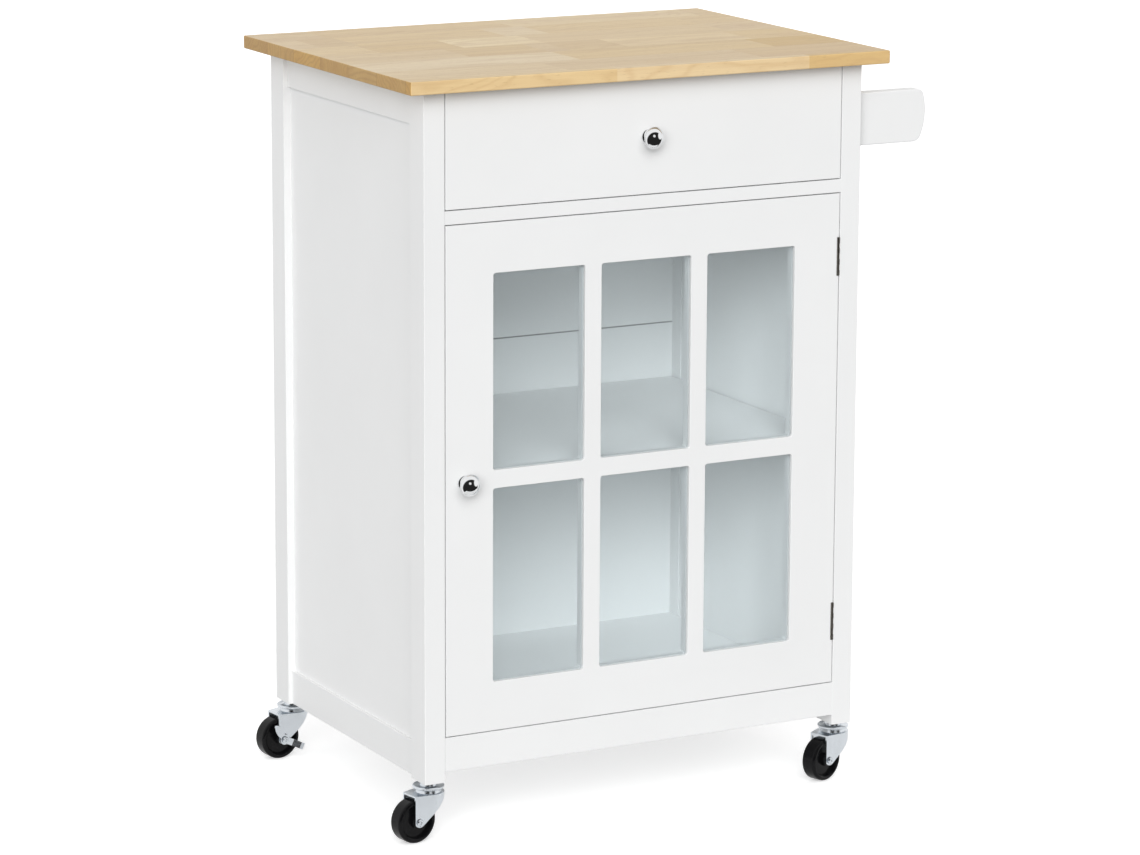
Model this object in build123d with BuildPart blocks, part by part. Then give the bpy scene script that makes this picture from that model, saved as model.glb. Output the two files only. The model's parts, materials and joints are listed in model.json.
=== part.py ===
"""A rolling kitchen cart: a butcher block worktop on a painted cabinet with a drawer, a glazed door,
an adjustable shelf, a towel rail and four swivel casters, two of them with a brake.

The frame: +Z is up, the front faces -Y and the towel rail is on +X. The origin is on the floor, in the
middle of the whole cart's footprint. Helpers measure from the cabinet instead: x from its middle,
y from the front face of its legs and z from the floor.
"""
from math import cos, radians, sin
import os

from build123d import *

os.makedirs("parts", exist_ok=True)

# ---- driving dimensions, in millimetres ----
overall_height = 854
worktop_width = 600
worktop_depth = 440
worktop_thickness = 15
front_overhang = 20
body_width = 550
body_depth = 400
leg_width = 25
leg_depth = 35
gap = 1.2
eased = 0.6

# the cabinet's boards
side_thickness = 15
side_recess = 9
side_rail_recess = 5
side_rail_height = 40
rail_thickness = 15
middle_rail_bottom = 693
middle_rail_depth = 60
front_rail_bottom = 79
front_rail_top = 118
rear_rail_height = 40
back_thickness = 4
back_front = 386
back_bottom = 71
back_joint = 477
back_groove = 5
floor_thickness = 15
floor_top = 111
shelf_thickness = 12
shelf_top = 409.5
shelf_front = 30
shelf_play = 1.5
pin_radius = 2.5
pin_hole_depth = 10
pin_rows = (395, 458)
pin_columns = (60, 355)

# the drawer
drawer_front_thickness = 16
drawer_side_thickness = 12
drawer_half_width = 238
drawer_bottom_edge = 718
drawer_side_height = 90
drawer_length = 340
drawer_floor_z = 726
drawer_floor_thickness = 4
drawer_groove = 6
runner_height = 27
runner_bottom = 747
runner_sheet = 1.2
runner_play = 0.4
runner_flange = 9.5
cabinet_runner_length = 328
drawer_runner_length = 330

# the door
door_thickness = 16
door_stile = 58
door_rail = 56
bar_width = 20.5
pane_corner = 3
lattice_depth = 4
glass_thickness = 3
rebate_lap = 10
hinge_height = 44
hinge_from_end = 72.5
knuckle_radius = 1.6
knuckle_count = 7
knuckle_gap = 0.5
hinge_pin_radius = 0.8
hinge_axis_inset = 0.9
hinge_axis_depth = 0.2
leaf_thickness = 0.7
leaf_proud = 0.1
leaf_depth = 14

# knobs
knob_base_radius = 8
knob_head_radius = 12.4
knob_projection = 22
knob_screw_radius = 2
knob_screw_depth = 8
door_knob_from_edge = 22.5

# the towel rail
bracket_reach = 95
bracket_height = 60
bracket_bottom = 742
bracket_thickness = 18
bracket_from_face = 14
bar_radius = 8
bar_from_leg = 65
bar_socket = 10

# casters
caster_height = 67
caster_turns = {"front_left": 10, "front_right": 20, "rear_left": 7, "rear_right": 12}
wheel_radius = 25
wheel_half_width = 9.4
tread_half_width = 5.5
caster_trail = 21
axle_radius = 3
axle_play = 0.05
fork_sheet = 1.8
fork_taper = 14
fork_crown_radius = 18
fork_top = 55
fork_tail = 26
fork_foot_radius = 5.8
fork_skirt = 5
fork_nose = 13
axle_reach = 14.4
hub_half_width = 9.8
hub_radius = 7
race_radius = 14.5
race_top = 59.2
cup_radius = 18
cup_rim = 59.6
cup_thickness = 3
kingpin_radius = 4
stem_radius = 4
stem_length = 30
lever_sheet = 1.6
lever_play = 1.5
lever_angle = 205
lever_leaf_angle = 57
lever_boss_radius = 6
lever_half_width = 4

# fasteners
dowel_radius = 3
dowel_length = 26
dowel_in_leg = 7
screw_radius = 2
screw_head_radius = 4
screw_head = 2.5
screw_length = 50

# ---- what follows from them ----
worktop_bottom = overall_height - worktop_thickness
half_body = body_width / 2
half_opening = half_body - leg_width
rear_legs = body_depth - leg_depth
side_outer = half_body - side_recess
side_inner = side_outer - side_thickness
front_half = half_opening - gap
drawer_front_bottom = middle_rail_bottom + rail_thickness + gap
drawer_front_top = worktop_bottom - gap
door_bottom = front_rail_top + gap
door_top = middle_rail_bottom - gap
door_middle = (door_bottom + door_top) / 2
pane_width = (2 * front_half - 2 * door_stile - 2 * bar_width) / 3
pane_height = (door_top - door_bottom - 2 * door_rail - bar_width) / 2
hinge_x = front_half - hinge_axis_inset
hinge_middles = (door_bottom + hinge_from_end, door_top - hinge_from_end)
towel_bar_x = half_body + bar_from_leg
towel_bar_z = bracket_bottom + bracket_height / 2

# the wheels trail towards -X, beyond the worktop's left edge
left_turns = [radians(caster_turns["front_left"]), radians(caster_turns["rear_left"])]
wheel_reaches = [(caster_trail + wheel_radius) * cos(turn) + tread_half_width * sin(turn) for turn in left_turns]
left_extent = half_body - leg_width / 2 + max(wheel_reaches)
right_extent = half_body + bracket_reach
rear_extent = worktop_depth - front_overhang
cabinet_x = (left_extent - right_extent) / 2
front_y = (knob_projection - rear_extent) / 2


# ---- planes and helpers ----
def at(x, y, z):
    """A point measured from the cabinet's middle, the legs' front face and the floor."""
    return Vector(cabinet_x + x, front_y + y, z)


def level(z):
    """A horizontal plane at a height, with its origin at the middle of the front."""
    return Plane(origin=at(0, 0, z), x_dir=(1, 0, 0), z_dir=(0, 0, 1))


def front_plane(y):
    """An upright plane seen from the front: its x runs right, its y up, and it faces the front."""
    return Plane(origin=at(0, y, 0), x_dir=(1, 0, 0), z_dir=(0, -1, 0))


def turning_plane(origin, direction, radial):
    """A plane for a turned outline: its x is the radius and its y runs along the axis."""
    return Plane(origin=origin, x_dir=radial, z_dir=Vector(radial).cross(Vector(direction)))


def save(piece, name):
    """Labels a finished piece and writes it."""
    piece.part.label = name
    export_step(piece.part, f"parts/{name}.step")


def block(x, y, z, mode=Mode.ADD):
    """A square-edged block between two corners, for use inside a part."""
    with BuildSketch(level(z[0])) as outline:
        with Locations(((x[0] + x[1]) / 2, (y[0] + y[1]) / 2)):
            Rectangle(x[1] - x[0], y[1] - y[0])
    extrude(outline.sketch, amount=z[1] - z[0], mode=mode)


def board(x, y, z):
    """A board with all its edges eased."""
    with BuildPart() as piece:
        block(x, y, z)
        fillet(piece.edges(), radius=eased)
    return piece


def turned(plane, points, mode=Mode.ADD):
    """A solid of revolution from a closed outline of (radius, height) points."""
    with BuildSketch(plane) as outline:
        with BuildLine():
            Polyline(*points, close=True)
        make_face()
    revolve(outline.sketch, axis=Axis(plane.origin, plane.y_dir), mode=mode)


def screw_outline():
    """Half of a countersunk screw: its head at height zero and its point along the axis."""
    tip = screw_length - 2 * screw_radius
    return [(0, 0), (screw_head_radius, 0), (screw_radius, screw_head), (screw_radius, tip), (0, screw_length)]


# ---- fasteners inside the frame ----
dowel_x = half_opening + dowel_in_leg - dowel_length / 2
cross_dowels = [
    (rail_thickness / 2, front_rail_bottom + 10),
    (rail_thickness / 2, front_rail_top - 10),
    (10, middle_rail_bottom + rail_thickness / 2),
    (25, middle_rail_bottom + rail_thickness / 2),
    (back_front - rail_thickness / 2, worktop_bottom - 10),
    (back_front - rail_thickness / 2, worktop_bottom - 30),
    (back_front - rail_thickness / 2, back_bottom + 4),
    (back_front - rail_thickness / 2, back_bottom + 18),
]
side_rail_middle = (side_inner + half_body - side_rail_recess) / 2
side_dowel_heights = [
    caster_height + 10,
    caster_height + side_rail_height - 10,
    worktop_bottom - side_rail_height + 10,
    worktop_bottom - 10,
]


def dowels(mode=Mode.ADD):
    """Every wooden dowel, or the holes for them: across into the rails, and along into the side rails."""
    for side in (-1, 1):
        for y, z in cross_dowels:
            with Locations(Location(at(side * dowel_x, y, z), (0, 90, 0))):
                Cylinder(dowel_radius, dowel_length, mode=mode)
        for y in (leg_depth, rear_legs):
            for z in side_dowel_heights:
                with Locations(Location(at(side * side_rail_middle, y, z), (90, 0, 0))):
                    Cylinder(dowel_radius, dowel_length, mode=mode)


worktop_screw_rows = (90, 200, 310)
bracket_fronts = (bracket_from_face, body_depth - bracket_from_face - bracket_thickness)
bracket_screw_heights = (bracket_bottom + 15, bracket_bottom + 45)


def screws(mode=Mode.ADD):
    """The long screws, or the holes for them: up into the worktop and out into the towel brackets."""
    for side in (-1, 1):
        for y in worktop_screw_rows:
            head = at(side * side_rail_middle, y, worktop_bottom - side_rail_height)
            turned(turning_plane(head, (0, 0, 1), (1, 0, 0)), screw_outline(), mode)
    for front in bracket_fronts:
        for z in bracket_screw_heights:
            head = at(half_opening, front + bracket_thickness / 2, z)
            turned(turning_plane(head, (1, 0, 0), (0, 1, 0)), screw_outline(), mode)


def stem_places():
    """The middle of each leg's foot, with its name."""
    for y, end in ((leg_depth / 2, "front"), (body_depth - leg_depth / 2, "rear")):
        for side, hand in ((-1, "left"), (1, "right")):
            yield f"{end}_{hand}", side * (half_body - leg_width / 2), y


with BuildPart() as frame_dowels:
    dowels()
save(frame_dowels, "frame_dowels")

with BuildPart() as frame_screws:
    screws()
save(frame_screws, "frame_screws")

# ---- worktop ----
with BuildPart() as worktop:
    block(
        (-worktop_width / 2, worktop_width / 2),
        (-front_overhang, worktop_depth - front_overhang),
        (worktop_bottom, overall_height),
    )
    fillet(worktop.edges(), radius=1.5)
    screws(Mode.SUBTRACT)
save(worktop, "worktop")

# ---- legs ----
for place, x, y in stem_places():
    with BuildPart() as leg:
        block(
            (x - leg_width / 2, x + leg_width / 2),
            (y - leg_depth / 2, y + leg_depth / 2),
            (caster_height, worktop_bottom),
        )
        fillet(leg.edges().filter_by(Axis.Z), radius=eased)
        fillet(leg.faces().sort_by(Axis.Z)[0].edges(), radius=eased / 2)
        with Locations(at(x, y, caster_height + stem_length / 2)):
            Cylinder(stem_radius, stem_length, mode=Mode.SUBTRACT)
        if y > body_depth / 2:
            block(
                (-half_opening - back_groove, half_opening + back_groove),
                (back_front, back_front + back_thickness),
                (back_bottom, worktop_bottom),
                Mode.SUBTRACT,
            )
        dowels(Mode.SUBTRACT)
        screws(Mode.SUBTRACT)
    save(leg, f"leg_{place}")

# ---- side panels and their rails ----
for side, hand in ((-1, "left"), (1, "right")):
    with BuildPart() as side_panel:
        block(
            sorted((side * side_inner, side * side_outer)),
            (leg_depth, rear_legs),
            (caster_height + side_rail_height, worktop_bottom - side_rail_height),
        )
        for column in pin_columns:
            for row in pin_rows:
                with Locations(Location(at(side * (side_inner + pin_hole_depth / 2), column, row), (0, 90, 0))):
                    Cylinder(pin_radius, pin_hole_depth, mode=Mode.SUBTRACT)
    save(side_panel, f"side_panel_{hand}")

    for bottom, name in ((caster_height, "bottom"), (worktop_bottom - side_rail_height, "top")):
        with BuildPart() as side_rail:
            block(
                sorted((side * side_inner, side * (half_body - side_rail_recess))),
                (leg_depth, rear_legs),
                (bottom, bottom + side_rail_height),
            )
            fillet(side_rail.edges().filter_by(Axis.Y), radius=eased)
            dowels(Mode.SUBTRACT)
            screws(Mode.SUBTRACT)
        save(side_rail, f"side_{name}_rail_{hand}")

# ---- front and rear rails ----
cross_rails = {
    "front_middle_rail": ((0, middle_rail_depth), (middle_rail_bottom, middle_rail_bottom + rail_thickness)),
    "front_bottom_rail": ((0, rail_thickness), (front_rail_bottom, front_rail_top)),
    "rear_top_rail": ((back_front - rail_thickness, back_front), (worktop_bottom - rear_rail_height, worktop_bottom)),
    "rear_bottom_rail": ((back_front - rail_thickness, back_front), (back_bottom, floor_top - floor_thickness)),
}
for name, (depth, height) in cross_rails.items():
    with BuildPart() as rail:
        block((-half_opening, half_opening), depth, height)
        fillet(rail.edges().filter_by(Axis.X), radius=eased)
        dowels(Mode.SUBTRACT)
    save(rail, name)

# ---- back panels, floor and shelf ----
back_x = (-half_opening - back_groove, half_opening + back_groove)
back_y = (back_front, back_front + back_thickness)
with BuildPart() as back_panel_lower:
    block(back_x, back_y, (back_bottom, back_joint))
    chamfer(back_panel_lower.faces().sort_by(Axis.Z)[-1].edges().sort_by(Axis.Y)[0], length=eased)
save(back_panel_lower, "back_panel_lower")

with BuildPart() as back_panel_upper:
    block(back_x, back_y, (back_joint, worktop_bottom))
    chamfer(back_panel_upper.faces().sort_by(Axis.Z)[0].edges().sort_by(Axis.Y)[0], length=eased)
save(back_panel_upper, "back_panel_upper")

with BuildPart() as bottom_panel:
    block((-half_opening, half_opening), (rail_thickness, back_front), (floor_top - floor_thickness, floor_top))
    block((-side_inner, side_inner), (leg_depth, rear_legs), (floor_top - floor_thickness, floor_top))
save(bottom_panel, "bottom_panel")

shelf_half = half_opening - shelf_play
shelf_bottom = shelf_top - shelf_thickness
shelf = board((-shelf_half, shelf_half), (shelf_front, back_front - gap), (shelf_bottom, shelf_top))
save(shelf, "shelf")

# each pin stands in a hole of the side panel, and the shelf rests on it
pin_reach = 7
with BuildPart() as shelf_pins:
    for side in (-1, 1):
        for column in pin_columns:
            middle = side * (side_inner + (pin_hole_depth - pin_reach) / 2)
            with Locations(Location(at(middle, column, shelf_bottom - pin_radius), (0, 90, 0))):
                Cylinder(pin_radius, pin_hole_depth + pin_reach)
save(shelf_pins, "shelf_pins")

# ---- drawer ----
drawer_back_y = drawer_front_thickness + drawer_length
drawer_top_edge = drawer_bottom_edge + drawer_side_height
drawer_inner = drawer_half_width - drawer_side_thickness
drawer_front_middle = (drawer_front_bottom + drawer_front_top) / 2
floor_z = (drawer_floor_z, drawer_floor_z + drawer_floor_thickness)
drawer_floor_x = (-drawer_inner - drawer_groove, drawer_inner + drawer_groove)
drawer_floor_y = (drawer_front_thickness - drawer_groove, drawer_back_y - drawer_side_thickness)


def knob_screw_hole(x, z):
    """The hole for a knob's screw, through a front and into the knob."""
    with Locations(Location(at(x, (door_thickness - knob_screw_depth) / 2, z), (90, 0, 0))):
        Cylinder(knob_screw_radius, door_thickness + knob_screw_depth, mode=Mode.SUBTRACT)


with BuildPart() as drawer_front:
    block((-front_half, front_half), (0, drawer_front_thickness), (drawer_front_bottom, drawer_front_top))
    fillet(drawer_front.edges(), radius=eased)
    block(drawer_floor_x, drawer_floor_y, floor_z, Mode.SUBTRACT)
    knob_screw_hole(0, drawer_front_middle)
save(drawer_front, "drawer_front")

for side, hand in ((-1, "left"), (1, "right")):
    with BuildPart() as drawer_side:
        block(
            sorted((side * drawer_inner, side * drawer_half_width)),
            (drawer_front_thickness, drawer_back_y),
            (drawer_bottom_edge, drawer_top_edge),
        )
        fillet(drawer_side.edges().filter_by(Axis.Y), radius=eased)
        block(drawer_floor_x, drawer_floor_y, floor_z, Mode.SUBTRACT)
    save(drawer_side, f"drawer_side_{hand}")

with BuildPart() as drawer_back:
    block(
        (-drawer_inner, drawer_inner),
        (drawer_back_y - drawer_side_thickness, drawer_back_y),
        (drawer_bottom_edge, drawer_top_edge),
    )
    fillet(drawer_back.edges().filter_by(Axis.X), radius=eased)
save(drawer_back, "drawer_back")

with BuildPart() as drawer_bottom:
    block(drawer_floor_x, drawer_floor_y, floor_z)
save(drawer_bottom, "drawer_bottom")

# a pair of folded channels on each side, one sliding inside the other
runner_z = (runner_bottom, runner_bottom + runner_height)
inner_z = (runner_bottom + runner_sheet + runner_play, runner_bottom + runner_height - runner_sheet - runner_play)
runner_start = leg_depth + 1


def channel(wall, tip, y, z):
    """A folded channel on both sides: its web stands at wall and its flanges reach to tip."""
    for side in (-1, 1):
        inward = 1 if tip > wall else -1
        web = sorted((side * wall, side * (wall + inward * runner_sheet)))
        flange = sorted((side * wall, side * tip))
        block(web, y, z)
        block(flange, y, (z[0], z[0] + runner_sheet))
        block(flange, y, (z[1] - runner_sheet, z[1]))


with BuildPart() as cabinet_runners:
    channel(side_inner, side_inner - runner_flange, (runner_start, runner_start + cabinet_runner_length), runner_z)
save(cabinet_runners, "cabinet_runners")

runner_tip = half_opening - 1
drawer_runner_y = (drawer_front_thickness + 4, drawer_front_thickness + 4 + drawer_runner_length)
with BuildPart() as drawer_runners:
    channel(drawer_half_width, runner_tip, drawer_runner_y, inner_z)
save(drawer_runners, "drawer_runners")


# ---- knobs ----
def make_knob(x, z, name):
    """A mushroom knob on a front, and the screw that holds it from behind."""
    plane = turning_plane(at(x, 0, z), (0, -1, 0), (1, 0, 0))
    with BuildPart() as knob:
        with BuildSketch(plane):
            with BuildLine():
                Polyline((0, 0), (knob_base_radius, 0), (knob_base_radius, 1.5))
                ThreePointArc((knob_base_radius, 1.5), (5.6, 4), (4.8, 8))
                ThreePointArc((4.8, 8), (7.2, 11), (knob_head_radius - 0.8, 13))
                ThreePointArc((knob_head_radius - 0.8, 13), (knob_head_radius, 14.2), (knob_head_radius - 0.5, 15.4))
                ThreePointArc((knob_head_radius - 0.5, 15.4), (7.2, 20), (1, knob_projection))
                Polyline((1, knob_projection), (0, knob_projection), (0, 0))
            make_face()
        revolve(axis=Axis(plane.origin, plane.y_dir))
        knob_screw_hole(x, z)
    save(knob, f"{name}_knob")

    shank = door_thickness + knob_screw_depth
    head = turning_plane(at(x, door_thickness, z), (0, -1, 0), (1, 0, 0))
    with BuildPart() as knob_screw:
        turned(head, [(0, -2.5), (3, -2.5), (4, -1), (4, 0), (knob_screw_radius, 0), (knob_screw_radius, shank), (0, shank)])
    save(knob_screw, f"{name}_knob_screw")


door_knob_x = door_knob_from_edge - front_half
make_knob(0, drawer_front_middle, "drawer")
make_knob(door_knob_x, door_middle, "door")

# ---- door ----
pane_grid = dict(x_spacing=pane_width + bar_width, y_spacing=pane_height + bar_width, x_count=3, y_count=2)
rebate_width = 2 * front_half - 2 * door_stile + 2 * rebate_lap
rebate_height = door_top - door_bottom - 2 * door_rail + 2 * rebate_lap


def door_sheet(width, height, back, front, mode=Mode.ADD):
    """A flat rectangle of the door between two depths."""
    with BuildSketch(front_plane(back)) as outline:
        with Locations((0, door_middle)):
            Rectangle(width, height)
    extrude(outline.sketch, amount=back - front, mode=mode)


def pane_openings(back, front):
    """The six round-cornered openings between two depths."""
    with BuildSketch(front_plane(back)) as outlines:
        with Locations((0, door_middle)):
            with GridLocations(**pane_grid):
                RectangleRounded(pane_width, pane_height, pane_corner)
    extrude(outlines.sketch, amount=back - front, mode=Mode.SUBTRACT)


def hinge_relief():
    """Room in the door's edge for the knuckles, and a shallow bed for each leaf."""
    room = knuckle_radius + 0.3
    for middle in hinge_middles:
        height = (middle - hinge_height / 2 - 0.3, middle + hinge_height / 2 + 0.3)
        block((hinge_x - room, front_half), (-1, hinge_axis_depth + room), height, Mode.SUBTRACT)
        leaf_bed = (front_half - leaf_thickness + leaf_proud, front_half)
        block(leaf_bed, (hinge_axis_depth + room, leaf_depth + 1), height, Mode.SUBTRACT)


with BuildPart() as door_frame:
    door_sheet(2 * front_half, door_top - door_bottom, door_thickness, 0)
    door_sheet(rebate_width, rebate_height, door_thickness, lattice_depth, Mode.SUBTRACT)
    pane_openings(lattice_depth, 0)
    fillet(door_frame.faces().sort_by(Axis.Y)[0].edges(), radius=eased)
    hinge_relief()
    knob_screw_hole(door_knob_x, door_middle)
save(door_frame, "door_frame")

glass_back = lattice_depth + glass_thickness
with BuildPart() as door_glass:
    door_sheet(rebate_width - 1, rebate_height - 1, glass_back, lattice_depth)
save(door_glass, "door_glass")

with BuildPart() as glass_retainer:
    door_sheet(rebate_width - 0.4, rebate_height - 0.4, door_thickness, glass_back)
    pane_openings(door_thickness, glass_back)
    fillet(glass_retainer.faces().sort_by(Axis.Y)[-1].edges(), radius=eased)
save(glass_retainer, "glass_retainer")

# ---- hinges: the odd knuckles belong to the cabinet's leaf and the even ones to the door's ----
knuckle_pitch = hinge_height / knuckle_count


def hinge_leaves(first_knuckle, plate_x, plate_y, bridge_x, bridge_y):
    """One leaf for each hinge: a plate, and every second knuckle joined to it by a short bridge."""
    for middle in hinge_middles:
        bottom = middle - hinge_height / 2
        block(plate_x, plate_y, (bottom, bottom + hinge_height))
        for index in range(first_knuckle, knuckle_count, 2):
            low = bottom + index * knuckle_pitch + knuckle_gap / 2
            high = low + knuckle_pitch - knuckle_gap
            block(bridge_x, bridge_y, (low, high))
            with Locations(at(hinge_x, hinge_axis_depth, (low + high) / 2)):
                Cylinder(knuckle_radius, high - low)
        with Locations(at(hinge_x, hinge_axis_depth, middle)):
            Cylinder(hinge_pin_radius + 0.05, hinge_height + 4, mode=Mode.SUBTRACT)


with BuildPart() as hinge_cabinet_leaves:
    plate = (half_opening - leaf_thickness, half_opening)
    bridge = (half_opening - 1.2, half_opening)
    hinge_leaves(0, plate, (1.8, leaf_depth), bridge, (-0.3, 2))
save(hinge_cabinet_leaves, "hinge_cabinet_leaves")

with BuildPart() as hinge_door_leaves:
    plate = (front_half + leaf_proud - leaf_thickness, front_half + leaf_proud)
    hinge_leaves(1, plate, (2.5, leaf_depth), plate, (0.5, 2.6))
save(hinge_door_leaves, "hinge_door_leaves")

with BuildPart() as hinge_pins:
    for middle in hinge_middles:
        with Locations(at(hinge_x, hinge_axis_depth, middle)):
            Cylinder(hinge_pin_radius, hinge_height)
save(hinge_pins, "hinge_pins")

# ---- magnetic catch under the middle rail, and its strike on the door ----
catch_x = (-210, -165)
catch_z = (middle_rail_bottom - 14, middle_rail_bottom)
catch = board(catch_x, (door_thickness + 1.4, door_thickness + 16), catch_z)
save(catch, "magnetic_catch")

strike_z = (catch_z[0] + 1, door_top - 1)
with BuildPart() as catch_strike:
    block((catch_x[0] + 8, catch_x[1] - 8), (door_thickness, door_thickness + 1), strike_z)
    fillet(catch_strike.edges().filter_by(Axis.Y), radius=1)
save(catch_strike, "catch_strike")


# ---- towel rail ----
for front, name in zip(bracket_fronts, ("front", "rear")):
    plane = Plane(origin=at(half_body, front + bracket_thickness, bracket_bottom), x_dir=(1, 0, 0), z_dir=(0, -1, 0))
    socket_face = front + bracket_thickness - bar_socket / 2 if name == "front" else front + bar_socket / 2
    with BuildPart() as towel_bracket:
        with BuildSketch(plane) as outline:
            with BuildLine():
                Polyline((bracket_reach - 9, 0), (0, 0), (0, bracket_height), (bracket_reach - 4.5, bracket_height))
                ThreePointArc((bracket_reach - 4.5, bracket_height), (bracket_reach, 35), (bracket_reach - 9, 0))
            make_face()
            right_corners = outline.vertices().sort_by(Axis.X)[-2:].sort_by(Axis.Y)
            fillet(right_corners[-1], radius=7)
            right_corners = outline.vertices().group_by(Axis.Y)[0].sort_by(Axis.X)
            fillet(right_corners[-1], radius=11)
        extrude(amount=bracket_thickness)
        outer_faces = towel_bracket.faces().sort_by(Axis.Y)
        fillet(outer_faces[0].edges() + outer_faces[-1].edges(), radius=1.2)
        with Locations(Location(at(towel_bar_x, socket_face, towel_bar_z), (90, 0, 0))):
            Cylinder(bar_radius, bar_socket, mode=Mode.SUBTRACT)
        screws(Mode.SUBTRACT)
    save(towel_bracket, f"towel_bracket_{name}")

bar_start = bracket_fronts[0] + bracket_thickness - bar_socket
bar_end = bracket_fronts[1] + bar_socket
with BuildPart() as towel_bar:
    with Locations(Location(at(towel_bar_x, (bar_start + bar_end) / 2, towel_bar_z), (90, 0, 0))):
        Cylinder(bar_radius, bar_end - bar_start)
save(towel_bar, "towel_bar")

# ---- caster mounts: a threaded stem, the upper race and the kingpin with its head ----
kingpin_head = fork_top - fork_sheet - 0.4
mount_outline = [
    (0, kingpin_head - 2.5),
    (6, kingpin_head - 2.5),
    (6, kingpin_head),
    (kingpin_radius, kingpin_head),
    (kingpin_radius, cup_rim + 1),
    (cup_radius - 2, cup_rim + 1),
    (cup_radius - 1.6, cup_rim),
    (cup_radius - 0.4, cup_rim),
    (cup_radius, cup_rim + 0.5),
    (cup_radius, cup_rim + cup_thickness - 0.7),
    (cup_radius - 0.8, cup_rim + cup_thickness),
    (cup_radius - 2, cup_rim + cup_thickness),
    (cup_radius - 4, cup_rim + cup_thickness - 0.8),
    (10, cup_rim + cup_thickness - 0.4),
    (9, caster_height - 0.6),
    (9, caster_height),
    (stem_radius, caster_height),
    (stem_radius, caster_height + stem_length),
    (0, caster_height + stem_length),
]
with BuildPart() as caster_mounts:
    for place, x, y in stem_places():
        turned(turning_plane(at(x, y, 0), (0, 0, 1), (1, 0, 0)), mount_outline)
save(caster_mounts, "caster_mounts")


# ---- casters: x runs along the trail, y along the axle towards the front, z up from the floor ----
def caster_plane(place, x, y):
    """The floor plane of one caster, turned so that the wheel trails behind the leg."""
    turn = radians(caster_turns[place])
    return Plane(origin=at(x, y, 0), x_dir=(-cos(turn), -sin(turn), 0), z_dir=(0, 0, 1))


def caster_side(plane, across):
    """An upright plane along the trail, moved across it and facing away from the front."""
    return Plane(origin=plane.origin + plane.y_dir * across, x_dir=plane.x_dir, z_dir=-plane.y_dir)


def axle_turning_plane(plane):
    """A plane for outlines turned about the axle."""
    hub = plane.origin + plane.x_dir * caster_trail + plane.z_dir * wheel_radius
    return turning_plane(hub, plane.y_dir, (0, 0, 1))


def crown(plane, radius, tail, height):
    """The plan of the fork, a round crown whose flat cheeks taper to the tail, as a solid that rises from a plane."""
    taper = radians(fork_taper)
    half_width = (radius - tail * sin(taper)) / cos(taper)
    with BuildSketch(plane) as outline:
        Circle(radius)
        with Locations((tail / 2, 0)):
            Rectangle(tail, 2 * half_width)
        make_hull()
    extrude(outline.sketch, amount=height)


def make_fork(plane, name):
    """A fork folded from sheet: a round crown, and two cheeks that taper down to the axle."""
    depth = fork_top - wheel_radius + fork_foot_radius + 1
    with BuildPart(mode=Mode.PRIVATE) as inside:
        crown(plane.offset(fork_top - depth), fork_crown_radius - fork_sheet, fork_tail + 5, depth - fork_sheet)
    with BuildPart(mode=Mode.PRIVATE) as cheeks:
        with BuildSketch(caster_side(plane, fork_crown_radius + 1)):
            with Locations((caster_trail, wheel_radius)):
                Circle(fork_foot_radius)
            with Locations(((fork_tail - fork_nose) / 2, fork_top - fork_skirt / 2)):
                Rectangle(fork_tail + fork_nose, fork_skirt)
            make_hull()
            with Locations((-fork_nose, fork_top)):
                Rectangle(fork_crown_radius, fork_skirt, align=(Align.MAX, Align.MAX))
        extrude(amount=2 * fork_crown_radius + 2)
    with BuildPart() as fork:
        crown(plane.offset(fork_top - depth), fork_crown_radius, fork_tail, depth)
        add(cheeks.part, mode=Mode.INTERSECT)
        add(inside.part, mode=Mode.SUBTRACT)
        with BuildSketch(plane.offset(fork_top)):
            Circle(race_radius)
        extrude(amount=race_top - fork_top, taper=20)
        with BuildSketch(plane.offset(fork_top - fork_sheet)):
            Circle(kingpin_radius + axle_play)
        extrude(amount=race_top - fork_top + fork_sheet, mode=Mode.SUBTRACT)
        for side in (-1, 1):
            far = side * axle_reach
            bore = [(0, 0), (axle_radius, 0), (axle_radius, far), (0, far)]
            turned(axle_turning_plane(plane), bore, Mode.SUBTRACT)
    save(fork, f"caster_fork_{name}")


def make_axle(plane, name, braked):
    """The riveted axle; on a braked caster it is longer and carries the lever on the front side."""
    far = -axle_reach
    near = axle_reach + (2 * lever_play + lever_sheet if braked else 0)
    with BuildPart() as axle:
        turned(
            axle_turning_plane(plane),
            [
                (0, far - 1.4),
                (3, far - 1.2),
                (4, far),
                (axle_radius, far),
                (axle_radius, near),
                (4, near),
                (3, near + 1.2),
                (1.6, near + 1.4),
                (1, near + 0.4),
                (0, near + 0.4),
            ],
        )
    save(axle, f"caster_axle_{name}")


def make_wheel(plane, name):
    """A plastic wheel with a crowned tread, dished sides and a plain hub."""
    with BuildPart() as wheel:
        with BuildSketch(axle_turning_plane(plane)):
            with BuildLine():
                bore = axle_radius + axle_play
                rim = wheel_radius - 4
                for side in (-1, 1):
                    Polyline(
                        (bore, 0),
                        (bore, side * hub_half_width),
                        (hub_radius, side * hub_half_width),
                        (hub_radius + 0.8, side * 5),
                        (rim - 3, side * 4.6),
                        (rim - 1, side * (wheel_half_width - 0.8)),
                        (rim, side * wheel_half_width),
                    )
                    shoulder = (wheel_radius - 1.1, side * (wheel_half_width - 0.9))
                    ThreePointArc((rim, side * wheel_half_width), shoulder, (wheel_radius, side * tread_half_width))
                Line((wheel_radius, tread_half_width), (wheel_radius, -tread_half_width))
            make_face()
        revolve(axis=Axis(axle_turning_plane(plane).origin, plane.y_dir))
    save(wheel, f"caster_wheel_{name}")


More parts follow.
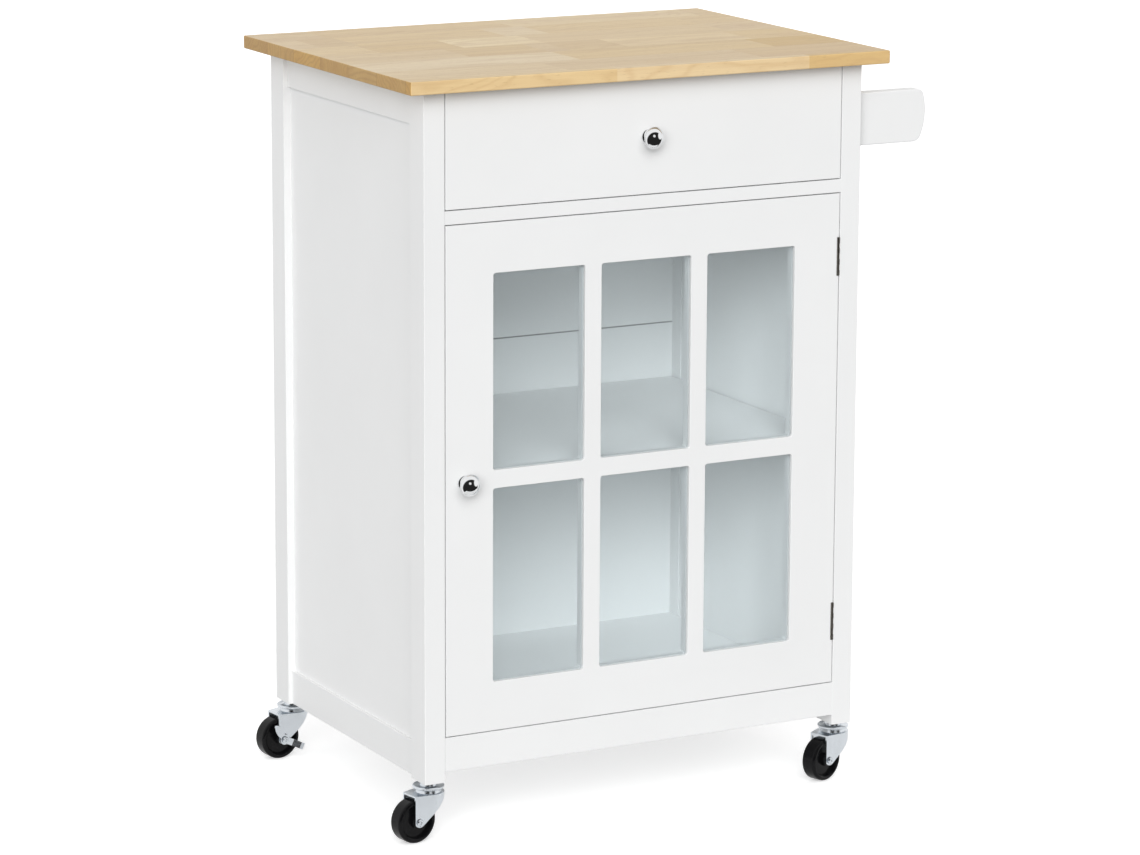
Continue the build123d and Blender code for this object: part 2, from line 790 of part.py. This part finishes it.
def make_lever(plane, name):
    """A stamped brake lever on the axle: a flat round wing behind, and a wing ahead bent outwards for the foot."""
    inner = axle_reach + lever_play
    hub = plane.origin + plane.x_dir * caster_trail + plane.z_dir * wheel_radius + plane.y_dir * inner
    ahead = radians(lever_angle)
    along = plane.x_dir * cos(ahead) + plane.z_dir * sin(ahead)
    with BuildPart() as lever:
        with BuildSketch(caster_side(plane, inner + lever_sheet)):
            with Locations((caster_trail, wheel_radius)):
                Circle(lever_boss_radius)
                with Locations(Rotation(0, 0, lever_leaf_angle)):
                    with Locations((12, 0)):
                        Ellipse(10, 4.5)
        extrude(amount=lever_sheet)
        with BuildSketch(Plane(origin=hub, x_dir=along, z_dir=along.cross(plane.y_dir))) as strip:
            with BuildLine():
                outer = [(4, lever_sheet), (12, lever_sheet), (19, 7 + lever_sheet), (23, 8 + lever_sheet)]
                inside = [(23, 8), (19.5, 7), (12.6, 0), (4, 0)]
                Polyline(*outer, *inside, close=True)
            make_face()
        extrude(amount=lever_half_width, both=True)
        turned(
            axle_turning_plane(plane),
            [(0, inner - 1), (axle_radius + axle_play, inner - 1), (axle_radius + axle_play, inner + 3), (0, inner + 3)],
            Mode.SUBTRACT,
        )
    save(lever, f"brake_lever_{name}")


for place, x, y in stem_places():
    braked = y > body_depth / 2
    ground = caster_plane(place, x, y)
    make_fork(ground, place)
    make_axle(ground, place, braked)
    make_wheel(ground, place)
    if braked:
        make_lever(ground, place)
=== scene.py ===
"""The looks of the rolling kitchen cart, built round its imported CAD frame."""
import json
import math

import bpy
from mathutils import Matrix, Vector


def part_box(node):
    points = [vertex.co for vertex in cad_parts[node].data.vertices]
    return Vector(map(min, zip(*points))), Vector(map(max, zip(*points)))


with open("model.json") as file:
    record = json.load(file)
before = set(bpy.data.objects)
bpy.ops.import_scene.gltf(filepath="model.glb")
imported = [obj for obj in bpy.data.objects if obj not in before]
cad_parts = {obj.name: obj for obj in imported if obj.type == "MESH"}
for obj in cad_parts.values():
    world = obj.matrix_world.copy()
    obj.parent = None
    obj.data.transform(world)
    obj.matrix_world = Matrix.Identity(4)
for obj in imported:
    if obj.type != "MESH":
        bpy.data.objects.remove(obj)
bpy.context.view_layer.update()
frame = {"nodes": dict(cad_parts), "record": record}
nodes = frame["nodes"]
scene = bpy.context.scene

# the cabinet's middle plane, the front face of its legs and the joint between its back panels
leg_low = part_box("leg_front_left")[0]
leg_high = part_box("leg_front_right")[1]
cabinet_x = (leg_low.x + leg_high.x) / 2
front_y = leg_low.y
back_joint_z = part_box("back_panel_upper")[0].z


# ---- a small kit for node materials ----
class Tree:
    """Makes and links a material's nodes; an input is a value or another node's socket."""

    def __init__(self, name):
        self.mat = bpy.data.materials.new(name)
        self.mat.use_nodes = True
        self.tree = self.mat.node_tree
        self.tree.nodes.clear()
        self.out = self.tree.nodes.new("ShaderNodeOutputMaterial")
        coord = self.tree.nodes.new("ShaderNodeTexCoord")
        self.place = coord.outputs["Object"]
        self.normal = coord.outputs["Normal"]

    def put(self, socket, value):
        """Links the socket to another one, or sets its value."""
        if isinstance(value, bpy.types.NodeSocket):
            self.tree.links.new(value, socket)
            return
        if socket.type == "RGBA":
            value = (*value, 1)
        socket.default_value = value

    def node(self, kind, inputs, **settings):
        made = self.tree.nodes.new(kind)
        for key, value in settings.items():
            setattr(made, key, value)
        for key, value in inputs.items():
            self.put(made.inputs[key], value)
        return made

    def math(self, operation, *values):
        return self.node("ShaderNodeMath", dict(enumerate(values)), operation=operation).outputs[0]

    def mix(self, factor, a, b, blend="MIX"):
        inputs = {0: factor, 6: a, 7: b}
        return self.node("ShaderNodeMix", inputs, data_type="RGBA", blend_type=blend).outputs[2]

    def noise(self, place, scale, detail, rough=0.5, distortion=0):
        inputs = {
            "Vector": place,
            "Scale": scale,
            "Detail": detail,
            "Roughness": rough,
            "Distortion": distortion,
        }
        return self.node("ShaderNodeTexNoise", inputs).outputs[0]

    def stretch(self, place, scale, shift=(0, 0, 0)):
        inputs = {"Vector": place, "Location": shift, "Scale": scale}
        return self.node("ShaderNodeMapping", inputs).outputs[0]

    def steps(self, factor, stops):
        """A grey that jumps to each stop's value at its position."""
        made = self.node("ShaderNodeValToRGB", {"Fac": factor})
        ramp = made.color_ramp
        ramp.interpolation = "CONSTANT"
        while len(ramp.elements) < len(stops):
            ramp.elements.new(0.5)
        for element, (position, value) in zip(ramp.elements, stops):
            element.position = position
            element.color = (value, value, value, 1)
        return made.outputs[0]

    def range(self, value, low, high, to_low=0.0, to_high=1.0):
        """Maps low to high onto to_low to to_high, and holds the ends beyond."""
        inputs = {"Value": value, "From Min": low, "From Max": high, "To Min": to_low, "To Max": to_high}
        return self.node("ShaderNodeMapRange", inputs).outputs[0]

    def bump(self, height, strength, distance):
        inputs = {"Height": height, "Strength": strength, "Distance": distance}
        return self.node("ShaderNodeBump", inputs).outputs[0]

    def finish(self, shader):
        self.tree.links.new(shader.outputs[0], self.out.inputs["Surface"])
        return self.mat

    def surface(self, **inputs):
        """Finishes with the principled shader; _ in an input's name stands for a space."""
        named = {key.replace("_", " "): value for key, value in inputs.items()}
        return self.finish(self.node("ShaderNodeBsdfPrincipled", named))


# ---- paint ----
def white_paint(name, base, seed, seam_z=None):
    """Satin white: a faint orange peel, softly uneven gloss and a trace of hand marks."""
    t = Tree(name)
    cloud = t.noise(t.stretch(t.place, (1, 1, 1), (seed, 0, 0)), scale=7, detail=4, rough=0.55)
    fine = t.noise(t.place, scale=260, detail=2, rough=0.6)
    peel = t.noise(t.place, scale=620, detail=2)
    hand_place = t.stretch(t.place, (3, 3, 14), (seed, 3, 0))
    marks = t.noise(hand_place, scale=5, detail=5, rough=0.6, distortion=0.4)
    dark = tuple(v * 0.975 for v in base)
    colour = t.mix(t.range(cloud, 0.3, 0.7), dark, base)
    if seam_z is not None:
        # painted shadow in the narrow joint between two boards
        height = t.node("ShaderNodeSeparateXYZ", {"Vector": t.place}).outputs["Z"]
        off_seam = t.math("ABSOLUTE", t.math("SUBTRACT", height, seam_z))
        colour = t.mix(t.range(off_seam, 0.0005, 0.0012, 1, 0), colour, (0.36, 0.365, 0.365))
    rough = t.math("ADD", t.range(marks, 0.35, 0.7, 0.30, 0.40), t.range(fine, 0.3, 0.7, -0.02, 0.02))
    return t.surface(
        Base_Color=colour,
        Roughness=rough,
        Specular_IOR_Level=0.45,
        Normal=t.bump(peel, strength=0.08, distance=0.0004),
    )


lacquer_white = (0.86, 0.865, 0.865)
# the boards inside get a brighter white than the lacquer outside: painted light that lifts the shaded
# interior
inside_white_brightened = (0.93, 0.935, 0.935)
paint = white_paint("white_lacquer", lacquer_white, seed=0)
paint_front = white_paint("white_lacquer_fronts", lacquer_white, seed=5)
foil = white_paint("white_foil", (0.80, 0.80, 0.79), seed=9)
inside_board = white_paint("white_inside_board", inside_white_brightened, seed=12)
back_board = white_paint("white_back_board", inside_white_brightened, seed=17, seam_z=back_joint_z)


# ---- butcher block: staves along X, each of finger-jointed blocks ----
stave_width = 0.072
first_glue_line = front_y - 0.007
half_span = 0.400
# one row for each stave, from the front: its blocks' left ends, in metres from the cabinet's middle,
# and their tones, from 0 for the darkest wood to 1 for the palest
STAVES = [
    [(-0.400, 0.62), (-0.052, 0.70), (0.192, 0.10)],
    [(-0.400, 0.66), (-0.105, 0.40), (0.140, 0.18)],
    [(-0.400, 0.90), (-0.053, 0.45), (0.200, 0.15)],
    [(-0.400, 0.55), (-0.150, 0.34), (-0.023, 0.30), (0.050, 0.72), (0.210, 0.42)],
    [(-0.400, 0.72), (-0.225, 0.38), (-0.122, 0.86), (-0.020, 0.55), (0.225, 0.50)],
    [(-0.400, 0.80), (-0.267, 0.30), (-0.220, 0.60), (-0.032, 0.78), (0.025, 0.52), (0.222, 0.65)],
    [(-0.400, 0.48), (-0.225, 0.50), (0.015, 0.80), (0.265, 0.44)],
]


def block_at(t, x, y):
    """The tone of the block at a place, and the number of its stave."""
    along = t.range(x, cabinet_x - half_span, cabinet_x + half_span)
    tones = []
    for blocks in STAVES:
        stops = [((left + half_span) / (2 * half_span), tone) for left, tone in blocks]
        tones.append(t.steps(along, stops))
    tone = tones[0]
    row = 0.0
    for index, behind in enumerate(tones[1:]):
        past = t.math("GREATER_THAN", y, first_glue_line + index * stave_width)
        tone = t.mix(past, tone, behind)
        row = t.math("ADD", row, past)
    return t.node("ShaderNodeSeparateColor", {"Color": tone}).outputs[0], row


def growth_rings(t, grain_place, luck):
    """Rings about a pith that wanders along the stave, 1 in the dark late wood."""
    _, gy, gz = t.node("ShaderNodeSeparateXYZ", {"Vector": grain_place}).outputs
    slow = t.noise(t.stretch(grain_place, (3.2, 9, 9)), scale=1.0, detail=3)
    ry = t.math("ADD", gy, t.range(slow, 0.3, 0.7, -0.03, 0.03))
    rz = t.math("ADD", gz, t.range(luck, 0, 1, -0.86, -0.80))
    radius = t.math("SQRT", t.math("ADD", t.math("MULTIPLY", ry, ry), t.math("MULTIPLY", rz, rz)))
    fuzz = t.noise(t.stretch(grain_place, (14, 160, 160)), scale=1.0, detail=4, rough=0.6)
    radius = t.math("ADD", radius, t.math("MULTIPLY", fuzz, 0.0024))
    ring = t.math("SINE", t.math("MULTIPLY", radius, 900.0))
    return t.math("POWER", t.range(ring, -0.6, 1.0), 2.2)


def butcher_block():
    """Oiled hardwood: toned blocks with their own grain, dark glue lines, darker end grain and a painted
    reflection greying the upper face.
    """
    t = Tree("butcher_block_oiled")
    x, y, _ = t.node("ShaderNodeSeparateXYZ", {"Vector": t.place}).outputs
    tone, row = block_at(t, x, y)

    # each block was cut from another piece of wood, so its grain comes from a place of its own
    seed = t.node("ShaderNodeCombineXYZ", {"X": tone, "Y": row}).outputs[0]
    luck = t.node("ShaderNodeTexWhiteNoise", {"Vector": seed}, noise_dimensions="3D").outputs
    reach = (4.0, 0.13, 0.16)
    moved = t.node("ShaderNodeVectorMath", {0: luck["Color"], 1: reach}, operation="MULTIPLY").outputs[0]
    grain_place = t.node("ShaderNodeVectorMath", {0: t.place, 1: moved}, operation="ADD").outputs[0]
    hue = t.node("ShaderNodeSeparateColor", {"Color": luck["Color"]}).outputs[1]

    # rings, fibres, pores and broad streaks, all long in the direction of the stave
    ring = growth_rings(t, grain_place, luck["Value"])
    fibre = t.noise(t.stretch(grain_place, (9, 420, 420)), scale=1.0, detail=4, rough=0.65)
    pore = t.noise(t.stretch(grain_place, (95, 1250, 1250)), scale=1.0, detail=1)
    pore = t.range(pore, 0.66, 0.76)
    streak = t.noise(t.stretch(grain_place, (1.6, 34, 34)), scale=1.0, detail=3)
    streak = t.range(streak, 0.42, 0.72)
    colour = t.mix(tone, (0.66, 0.42, 0.13), (0.96, 0.78, 0.48))
    colour = t.mix(t.range(luck["Value"], 0, 1, 0, 0.5), colour, (0.80, 0.58, 0.30))
    colour = t.mix(t.range(hue, 0.3, 1, 0, 0.4), colour, (0.78, 0.62, 0.44))
    colour = t.mix(t.math("MULTIPLY", ring, 0.28), colour, (0.60, 0.38, 0.17))
    colour = t.mix(t.math("MULTIPLY", streak, 0.38), colour, (0.62, 0.41, 0.22))
    colour = t.mix(t.range(fibre, 0.3, 0.75, 0, 0.26), colour, (0.56, 0.36, 0.17))
    colour = t.mix(t.math("MULTIPLY", pore, 0.38), colour, (0.30, 0.17, 0.07))

    # glue lines between staves, and the end grain that took more oil
    facing_x, _, facing_z = t.node("ShaderNodeSeparateXYZ", {"Vector": t.normal}).outputs
    end = t.range(t.math("ABSOLUTE", facing_x), 0.5, 0.8)
    off_glue = t.math("PINGPONG", t.math("SUBTRACT", y, first_glue_line), stave_width / 2)
    glue = t.range(off_glue, 0.0001, 0.0007, 1, 0)
    glue = t.math("MULTIPLY", glue, t.math("ADD", 0.22, t.math("MULTIPLY", end, 0.4)))
    colour = t.mix(glue, colour, (0.34, 0.20, 0.09))
    end_colour = t.mix(1.0, colour, (0.68, 0.56, 0.33), "MULTIPLY")
    end_colour = t.mix(t.math("MULTIPLY", ring, 0.16), end_colour, (0.28, 0.17, 0.08))
    end_colour = t.mix(t.range(hue, 0.35, 1, 0, 0.30), end_colour, (0.33, 0.21, 0.10))
    colour = t.mix(end, colour, end_colour)

    # painted reflection: the top is made paler and greyer than its edges, standing in for the white room
    # it mirrors
    painted_sheen_top = t.range(facing_z, 0.5, 0.8)
    colour = t.mix(painted_sheen_top, colour, t.mix(1.0, colour, (0.90, 0.935, 1.0), "MULTIPLY"))
    height = t.math("SUBTRACT", fibre, t.math("MULTIPLY", pore, 0.8))
    rough = t.math("ADD", t.range(fibre, 0.3, 0.7, 0.42, 0.54), t.math("MULTIPLY", pore, 0.2))
    return t.surface(
        Base_Color=colour,
        Roughness=rough,
        Specular_IOR_Level=0.4,
        Normal=t.bump(height, strength=0.22, distance=0.00035),
    )


# ---- the other materials ----
def plain_wood(name):
    t = Tree(name)
    grain = t.noise(t.stretch(t.place, (60, 60, 8)), scale=4, detail=4, rough=0.6)
    colour = t.mix(grain, (0.50, 0.33, 0.16), (0.68, 0.49, 0.28))
    return t.surface(Base_Color=colour, Roughness=t.range(grain, 0.3, 0.7, 0.5, 0.65))


def metal(name, base, rough, streaks, spots=0.0, seed=0):
    """Plated metal with fine polishing lines and a softly clouded gloss."""
    t = Tree(name)
    cloud = t.noise(t.stretch(t.place, (1, 1, 1), (seed, 0, 0)), scale=90, detail=4, rough=0.6)
    lines = t.noise(t.stretch(t.place, (900, 900, 60)), scale=1, detail=3, rough=0.6)
    clouded = t.range(cloud, 0.3, 0.7, rough * 0.9, rough * 1.12)
    lined = t.range(lines, 0.3, 0.7, -streaks, streaks)
    dark = tuple(v * (0.96 - spots) for v in base)
    return t.surface(
        Base_Color=t.mix(t.range(cloud, 0.35, 0.65), dark, base),
        Metallic=1.0,
        Roughness=t.math("ADD", clouded, lined),
        Normal=t.bump(lines, strength=streaks, distance=0.00005),
    )


def black_wheel():
    """Moulded black plastic with fine pale scuffs."""
    t = Tree("wheel_black_plastic")
    cloud = t.noise(t.place, scale=160, detail=4, rough=0.6)
    scuff = t.noise(t.stretch(t.place, (500, 500, 500)), scale=1, detail=5, rough=0.7)
    scuff = t.range(scuff, 0.58, 0.76)
    colour = t.mix(t.math("MULTIPLY", scuff, 0.2), (0.004, 0.004, 0.0045), (0.04, 0.039, 0.038))
    rough = t.math("ADD", t.range(cloud, 0.3, 0.7, 0.16, 0.24), t.math("MULTIPLY", scuff, 0.14))
    return t.surface(
        Base_Color=colour,
        Roughness=rough,
        Specular_IOR_Level=0.16,
        Normal=t.bump(cloud, strength=0.05, distance=0.0003),
    )


def pane_glass():
    """Clear glass with a faint haze: seen straight through, and shinier at a low angle."""
    t = Tree("pane_glass_clear")
    smear = t.noise(t.stretch(t.place, (9, 9, 4)), scale=2, detail=5, rough=0.65, distortion=0.6)
    clear = t.node("ShaderNodeBsdfTransparent", {"Color": (0.96, 0.982, 0.988)})
    haze = t.node("ShaderNodeBsdfDiffuse", {"Color": (0.92, 0.96, 1.0)})
    hazed = t.node("ShaderNodeMixShader", {0: 0.035, 1: clear.outputs[0], 2: haze.outputs[0]})
    smeared = t.range(smear, 0.45, 0.75, 0.01, 0.06)
    gloss = t.node("ShaderNodeBsdfGlossy", {"Color": (1, 1, 1), "Roughness": smeared})
    angle = t.node("ShaderNodeLayerWeight", {"Blend": 0.5}).outputs["Facing"]
    share = t.math("ADD", t.math("MULTIPLY", t.math("POWER", angle, 5.0), 0.96), 0.04)
    return t.finish(t.node("ShaderNodeMixShader", {0: share, 1: hazed.outputs[0], 2: gloss.outputs[0]}))


LOOKS = {
    "white_paint": paint,
    "butcher_block": butcher_block(),
    "drawer_box_white": foil,
    "pane_glass": pane_glass(),
    "chrome_knob": metal("chrome_polished", (0.82, 0.83, 0.84), 0.045, 0.01),
    "dark_nickel": metal("dark_nickel_plate", (0.30, 0.28, 0.25), 0.30, 0.04, 0.1, 3),
    "steel_hardware": metal("zinc_plated_steel", (0.60, 0.61, 0.63), 0.30, 0.03, 0.05, 5),
    "zinc_plate": metal("zinc_plated_casters", (0.74, 0.78, 0.82), 0.24, 0.02, 0.03, 7),
    "wheel_black": black_wheel(),
    "catch_plastic": white_paint("catch_plastic", (0.72, 0.72, 0.70), seed=2),
    "raw_beech": plain_wood("beech_dowels"),
}
# white pieces with a paint of their own
OWN_LOOKS = {
    "drawer_front": paint_front,
    "door_frame": paint_front,
    "glass_retainer": paint_front,
    "bottom_panel": inside_board,
    "shelf": inside_board,
    "back_panel_lower": back_board,
    "back_panel_upper": back_board,
}
for part in frame["record"]["subparts"]:
    name = part["node"]
    look = OWN_LOOKS.get(name, LOOKS[part["material_slot"]])
    nodes[name].data.materials.clear()
    nodes[name].data.materials.append(look)


# ---- floor ----
def pale_plane(name, half_size, material):
    """A square of floor about the middle of the cart."""
    h = half_size
    mesh = bpy.data.meshes.new(name)
    mesh.from_pydata([(-h, -h, 0), (h, -h, 0), (h, h, 0), (-h, h, 0)], [], [(0, 1, 2, 3)])
    mesh.materials.append(material)
    made = bpy.data.objects.new(name, mesh)
    scene.collection.objects.link(made)
    return made


pale = Tree("studio_floor").surface(
    Base_Color=(0.94, 0.94, 0.94),
    Roughness=0.8,
    Specular_IOR_Level=0.1,
    Emission_Color=(1, 1, 1),
    Emission_Strength=0.42,
)
studio_floor = pale_plane("studio_floor", 14.0, pale)
studio_floor.visible_diffuse = False
studio_floor.visible_glossy = False

# only the floor near the cart is mirrored in its metal; further off the room is dark
near_floor = pale_plane("near_floor", 0.5, pale)
near_floor.location.z = -0.0005
near_floor.visible_camera = False
near_floor.visible_diffuse = False
near_floor.visible_transmission = False
near_floor.visible_shadow = False


# ---- lamps ----
def soft_light(name, toward_light, strength, spread):
    """A wide, even light that comes from one direction and isn't mirrored in polished metal."""
    lamp = bpy.data.lights.new(name, "SUN")
    lamp.energy = strength
    lamp.angle = math.radians(spread)
    made = bpy.data.objects.new(name, lamp)
    made.rotation_euler = Vector(toward_light).to_track_quat("Z", "Y").to_euler()
    made.visible_glossy = False
    scene.collection.objects.link(made)
    return made


soft_light("key", (-0.25, -0.80, 0.55), strength=1.42, spread=44)
soft_light("left_key", (-0.62, -0.74, 0.28), strength=1.24, spread=34)
soft_light("left_fill", (-0.95, 0.05, 0.12), strength=0.47, spread=60)
soft_light("rear", (0.50, 0.84, 0.20), strength=0.95, spread=70)
soft_light("overhead", (0.0, 0.0, 1.0), strength=0.05, spread=100)

# two more lamps, through the glass, brighten only the boards inside the cabinet
INSIDE_BOARDS = (
    "back_panel_lower",
    "back_panel_upper",
    "bottom_panel",
    "shelf",
    "side_panel_right",
    "leg_rear_right",
)
inside = bpy.data.collections.new("inside_boards")
for name in INSIDE_BOARDS:
    inside.objects.link(nodes[name])
inside_back = soft_light("inside_back", (-0.30, -0.85, 0.42), strength=1.10, spread=22)
inside_right = soft_light("inside_right", (-0.80, -0.54, 0.27), strength=1.0, spread=22)
for lamp in (inside_back, inside_right):
    lamp.light_linking.receiver_collection = inside

# ---- world: what surrounds the cart ----
world = bpy.data.worlds.new("studio")
scene.world = world
world.use_nodes = True
tree = world.node_tree
tree.nodes.clear()


def sky(strength):
    """An even white background."""
    made = tree.nodes.new("ShaderNodeBackground")
    made.inputs["Color"].default_value = (1, 1, 1, 1)
    made.inputs["Strength"].default_value = strength
    return made


def cone(direction, low, high, within, outside):
    """One grey within a cone about a direction and another outside it; its edge is from low to high."""
    coord = tree.nodes.new("ShaderNodeTexCoord")
    facing = tree.nodes.new("ShaderNodeVectorMath")
    facing.operation = "DOT_PRODUCT"
    facing.inputs[1].default_value = Vector(direction).normalized()
    ramp = tree.nodes.new("ShaderNodeValToRGB")
    ramp.color_ramp.elements[0].position = low
    ramp.color_ramp.elements[0].color = (outside, outside, outside, 1)
    ramp.color_ramp.elements[1].position = high
    ramp.color_ramp.elements[1].color = (within, within, within, 1)
    tree.links.new(coord.outputs["Generated"], facing.inputs[0])
    tree.links.new(facing.outputs["Value"], ramp.inputs["Fac"])
    return ramp.outputs["Color"]


def either(chooser, first, second):
    """The second background where the chooser is one, and the first elsewhere."""
    made = tree.nodes.new("ShaderNodeMixShader")
    tree.links.new(chooser, made.inputs[0])
    tree.links.new(first.outputs[0], made.inputs[1])
    tree.links.new(second.outputs[0], made.inputs[2])
    return made


def lighter(first, second):
    """The lighter of two greys."""
    made = tree.nodes.new("ShaderNodeMix")
    made.data_type = "RGBA"
    made.blend_type = "LIGHTEN"
    made.inputs[0].default_value = 1.0
    tree.links.new(first, made.inputs[6])
    tree.links.new(second, made.inputs[7])
    return made.outputs[2]


# light comes evenly from all round, and the background is seen white; polished metal mirrors
# the dark side of the room, with two bright windows in it
seen = sky(1.05)
light = sky(0.385)
mirrored = sky(1.0)
room = cone((0.05, -0.95, -0.30), 0.30, 0.38, within=0.02, outside=1.0)
right_window = cone((0.84, -0.52, 0.16), 0.915, 0.935, within=1.0, outside=0.0)
left_window = cone((-0.05, -0.94, 0.32), 0.975, 0.985, within=0.9, outside=0.0)
tree.links.new(lighter(lighter(room, right_window), left_window), mirrored.inputs["Color"])
path = tree.nodes.new("ShaderNodeLightPath")
lit = either(path.outputs["Is Glossy Ray"], light, mirrored)
lit = either(path.outputs["Is Camera Ray"], lit, seen)
output = tree.nodes.new("ShaderNodeOutputWorld")
tree.links.new(lit.outputs[0], output.inputs["Surface"])

scene.cycles.diffuse_bounces = 8
scene.view_settings.view_transform = "Standard"
scene.view_settings.look = "None"

# ---- camera: left of the cart, looking a little down at it ----
camera_place = Vector((cabinet_x - 2.302, front_y - 4.147, 1.488))
yaw, pitch, roll = math.radians(28.01), math.radians(11.65), math.radians(0.27)
forward = Vector((math.sin(yaw) * math.cos(pitch), math.cos(yaw) * math.cos(pitch), -math.sin(pitch)))
right = Vector((math.cos(yaw), -math.sin(yaw), 0))
up = right.cross(forward)
rolled_right = math.cos(roll) * right + math.sin(roll) * up
rolled_up = math.cos(roll) * up - math.sin(roll) * right
turn = Matrix((rolled_right, rolled_up, -forward)).transposed().to_4x4()
camera_data = bpy.data.cameras.new("camera")
camera_data.sensor_width = 36
camera_data.lens = 137.3
camera_data.shift_y = -0.0504
camera_data.clip_end = 100
camera = bpy.data.objects.new("camera", camera_data)
camera.matrix_world = Matrix.Translation(camera_place) @ turn
scene.collection.objects.link(camera)
scene.camera = camera
